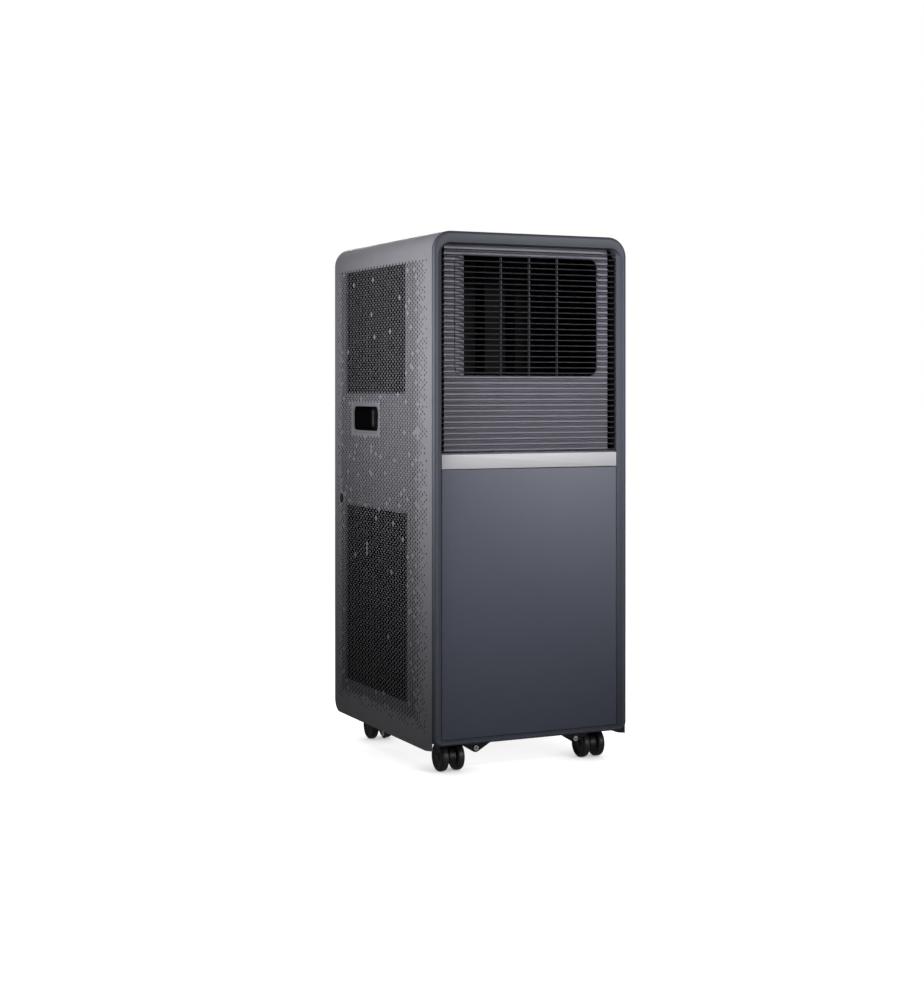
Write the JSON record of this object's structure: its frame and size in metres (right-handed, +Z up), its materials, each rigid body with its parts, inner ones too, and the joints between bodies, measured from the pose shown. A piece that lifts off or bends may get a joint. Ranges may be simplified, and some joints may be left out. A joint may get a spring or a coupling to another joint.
{
  "type": "portable air conditioner",
  "caption": "Slim upright room air conditioner on swivel casters, with a slatted air outlet in a framed front and perforated sheet sides with grip pockets.",
  "frame": {"origin": "on the floor, under the middle of the cabinet", "axes": "+Z up, front faces -Y, X across the front"},
  "size_m": [0.306, 0.372, 0.751],
  "materials": {
    "cabinet_sheet": "satin powder coat",
    "bezel_plastic": "satin",
    "panel_plastic": "satin",
    "silver_trim": "satin silver",
    "grille_plastic": "satin",
    "backing_plastic": "matt",
    "black_plastic": "matt",
    "handle_plastic": "satin",
    "rubber_black": "matt",
    "smoked_lens": "gloss",
    "zinc_steel": "zinc plated",
    "coil_aluminium": "mill finish",
    "compressor_enamel": "gloss enamel",
    "copper": "drawn tube",
    "caster_plastic": "satin",
    "caster_tread": "matt",
    "filter_frame": "matt",
    "key_plastic": "satin",
    "vane_plastic": "satin",
    "blower_plastic": "matt"
  },
  "bodies": {
    "root": {"base_pan": "black_plastic", "base_screws": "zinc_steel", "cabinet_wrap": "cabinet_sheet", "cable_gland": "black_plastic", "compressor": "compressor_enamel", "compressor_feet": "rubber_black", "condenser_coil": "coil_aluminium", "condenser_motor": "black_plastic", "condenser_scroll": "black_plastic", "control_box": "zinc_steel", "control_fascia": "black_plastic", "display_lens": "smoked_lens", "evaporator_coil": "coil_aluminium", "evaporator_motor": "black_plastic", "evaporator_scroll": "black_plastic", "exhaust_collar": "black_plastic", "filter_rails": "black_plastic", "front_bezel": "bezel_plastic", "front_grille": "grille_plastic", "front_panel": "panel_plastic", "grille_backing": "backing_plastic", "handle_cup_left": "handle_plastic", "handle_cup_right": "handle_plastic", "mid_deck": "black_plastic", "outlet_duct": "black_plastic", "rear_panel": "cabinet_sheet", "rear_screws": "zinc_steel", "refrigerant_lines": "copper", "trim_strip": "silver_trim", "vane_motor": "black_plastic"},
    "vane_1": {"vane_1": "vane_plastic"},
    "vane_2": {"vane_2": "vane_plastic"},
    "vane_3": {"vane_3": "vane_plastic"},
    "vane_4": {"vane_4": "vane_plastic"},
    "vane_link": {"vane_link": "black_plastic"},
    "evaporator_wheel": {"evaporator_wheel": "blower_plastic"},
    "condenser_wheel": {"condenser_wheel": "blower_plastic"},
    "filter_upper_left": {"filter_upper_left": "filter_frame"},
    "filter_upper_right": {"filter_upper_right": "filter_frame"},
    "filter_lower_left": {"filter_lower_left": "filter_frame"},
    "filter_lower_right": {"filter_lower_right": "filter_frame"},
    "key_power": {"key_power": "key_plastic"},
    "key_mode": {"key_mode": "key_plastic"},
    "key_fan": {"key_fan": "key_plastic"},
    "key_down": {"key_down": "key_plastic"},
    "key_up": {"key_up": "key_plastic"},
    "side_drain_plug": {"side_drain_plug": "rubber_black"},
    "rear_drain_plug": {"rear_drain_plug": "rubber_black"},
    "caster_fork_fl": {"caster_fork_fl": "caster_plastic"},
    "caster_wheel_fl_a": {"caster_wheel_fl_a": "caster_tread"},
    "caster_wheel_fl_b": {"caster_wheel_fl_b": "caster_tread"},
    "caster_fork_fr": {"caster_fork_fr": "caster_plastic"},
    "caster_wheel_fr_a": {"caster_wheel_fr_a": "caster_tread"},
    "caster_wheel_fr_b": {"caster_wheel_fr_b": "caster_tread"},
    "caster_fork_rl": {"caster_fork_rl": "caster_plastic"},
    "caster_wheel_rl_a": {"caster_wheel_rl_a": "caster_tread"},
    "caster_wheel_rl_b": {"caster_wheel_rl_b": "caster_tread"},
    "caster_fork_rr": {"caster_fork_rr": "caster_plastic"},
    "caster_wheel_rr_a": {"caster_wheel_rr_a": "caster_tread"},
    "caster_wheel_rr_b": {"caster_wheel_rr_b": "caster_tread"}
  },
  "joints": [
    {"name": "vane_1_turn", "type": "hinge", "parent": "root", "child": "vane_1", "pos_m": [-0.0615, -0.143, 0.63575], "axis": [0, 0, 1], "range_deg": [-30, 30]},
    {"name": "vane_2_turn", "type": "hinge", "parent": "root", "child": "vane_2", "pos_m": [-0.0135, -0.143, 0.63575], "axis": [0, 0, 1], "range_deg": [-30, 30]},
    {"name": "vane_3_turn", "type": "hinge", "parent": "root", "child": "vane_3", "pos_m": [0.0345, -0.143, 0.63575], "axis": [0, 0, 1], "range_deg": [-30, 30]},
    {"name": "vane_4_turn", "type": "hinge", "parent": "root", "child": "vane_4", "pos_m": [0.0825, -0.143, 0.63575], "axis": [0, 0, 1], "range_deg": [-30, 30]},
    {"name": "vane_link_turn", "type": "hinge", "parent": "vane_1", "child": "vane_link", "pos_m": [-0.0615, -0.131, 0.5548], "axis": [0, 0, 1], "range_deg": [-30, 30]},
    {"name": "evaporator_wheel_spin", "type": "hinge", "parent": "root", "child": "evaporator_wheel", "pos_m": [0, -0.079, 0.471], "axis": [0, 1, 0], "continuous": true},
    {"name": "condenser_wheel_spin", "type": "hinge", "parent": "root", "child": "condenser_wheel", "pos_m": [0, 0.103, 0.159], "axis": [0, 1, 0], "continuous": true},
    {"name": "filter_upper_left_slide", "type": "slide", "parent": "root", "child": "filter_upper_left", "axis": [0, 1, 0], "range_m": [0, 0.24]},
    {"name": "filter_upper_right_slide", "type": "slide", "parent": "root", "child": "filter_upper_right", "axis": [0, 1, 0], "range_m": [0, 0.24]},
    {"name": "filter_lower_left_slide", "type": "slide", "parent": "root", "child": "filter_lower_left", "axis": [0, 1, 0], "range_m": [0, 0.24]},
    {"name": "filter_lower_right_slide", "type": "slide", "parent": "root", "child": "filter_lower_right", "axis": [0, 1, 0], "range_m": [0, 0.24]},
    {"name": "key_power_press", "type": "slide", "parent": "root", "child": "key_power", "axis": [0, 0, -1], "range_m": [0, 0.0008], "stiffness_N_per_m": 500},
    {"name": "key_mode_press", "type": "slide", "parent": "root", "child": "key_mode", "axis": [0, 0, -1], "range_m": [0, 0.0008], "stiffness_N_per_m": 500},
    {"name": "key_fan_press", "type": "slide", "parent": "root", "child": "key_fan", "axis": [0, 0, -1], "range_m": [0, 0.0008], "stiffness_N_per_m": 500},
    {"name": "key_down_press", "type": "slide", "parent": "root", "child": "key_down", "axis": [0, 0, -1], "range_m": [0, 0.0008], "stiffness_N_per_m": 500},
    {"name": "key_up_press", "type": "slide", "parent": "root", "child": "key_up", "axis": [0, 0, -1], "range_m": [0, 0.0008], "stiffness_N_per_m": 500},
    {"name": "side_drain_plug_pull", "type": "slide", "parent": "root", "child": "side_drain_plug", "axis": [-1, 0, 0], "range_m": [0, 0.016]},
    {"name": "rear_drain_plug_pull", "type": "slide", "parent": "root", "child": "rear_drain_plug", "axis": [0, 1, 0], "range_m": [0, 0.018]},
    {"name": "caster_fl_swivel", "type": "hinge", "parent": "root", "child": "caster_fork_fl", "pos_m": [-0.112, -0.127, 0.041], "axis": [0, 0, 1], "continuous": true},
    {"name": "caster_wheel_fl_a_roll", "type": "hinge", "parent": "caster_fork_fl", "child": "caster_wheel_fl_a", "pos_m": [-0.124, -0.145, 0.02], "axis": [1, 0, 0], "continuous": true},
    {"name": "caster_wheel_fl_b_roll", "type": "hinge", "parent": "caster_fork_fl", "child": "caster_wheel_fl_b", "pos_m": [-0.1, -0.145, 0.02], "axis": [1, 0, 0], "continuous": true},
    {"name": "caster_fr_swivel", "type": "hinge", "parent": "root", "child": "caster_fork_fr", "pos_m": [0.112, -0.127, 0.041], "axis": [0, 0, 1], "continuous": true},
    {"name": "caster_wheel_fr_a_roll", "type": "hinge", "parent": "caster_fork_fr", "child": "caster_wheel_fr_a", "pos_m": [0.1, -0.145, 0.02], "axis": [1, 0, 0], "continuous": true},
    {"name": "caster_wheel_fr_b_roll", "type": "hinge", "parent": "caster_fork_fr", "child": "caster_wheel_fr_b", "pos_m": [0.124, -0.145, 0.02], "axis": [1, 0, 0], "continuous": true},
    {"name": "caster_rl_swivel", "type": "hinge", "parent": "root", "child": "caster_fork_rl", "pos_m": [-0.112, 0.127, 0.041], "axis": [0, 0, 1], "continuous": true},
    {"name": "caster_wheel_rl_a_roll", "type": "hinge", "parent": "caster_fork_rl", "child": "caster_wheel_rl_a", "pos_m": [-0.124, 0.109, 0.02], "axis": [1, 0, 0], "continuous": true},
    {"name": "caster_wheel_rl_b_roll", "type": "hinge", "parent": "caster_fork_rl", "child": "caster_wheel_rl_b", "pos_m": [-0.1, 0.109, 0.02], "axis": [1, 0, 0], "continuous": true},
    {"name": "caster_rr_swivel", "type": "hinge", "parent": "root", "child": "caster_fork_rr", "pos_m": [0.112, 0.127, 0.041], "axis": [0, 0, 1], "continuous": true},
    {"name": "caster_wheel_rr_a_roll", "type": "hinge", "parent": "caster_fork_rr", "child": "caster_wheel_rr_a", "pos_m": [0.1, 0.109, 0.02], "axis": [1, 0, 0], "continuous": true},
    {"name": "caster_wheel_rr_b_roll", "type": "hinge", "parent": "caster_fork_rr", "child": "caster_wheel_rr_b", "pos_m": [0.124, 0.109, 0.02], "axis": [1, 0, 0], "continuous": true}
  ],
  "couplings": [
    {"joint": "vane_2_turn", "follows": "vane_1_turn", "ratio": 1},
    {"joint": "vane_3_turn", "follows": "vane_1_turn", "ratio": 1},
    {"joint": "vane_4_turn", "follows": "vane_1_turn", "ratio": 1},
    {"joint": "vane_link_turn", "follows": "vane_1_turn", "ratio": -1}
  ]
}
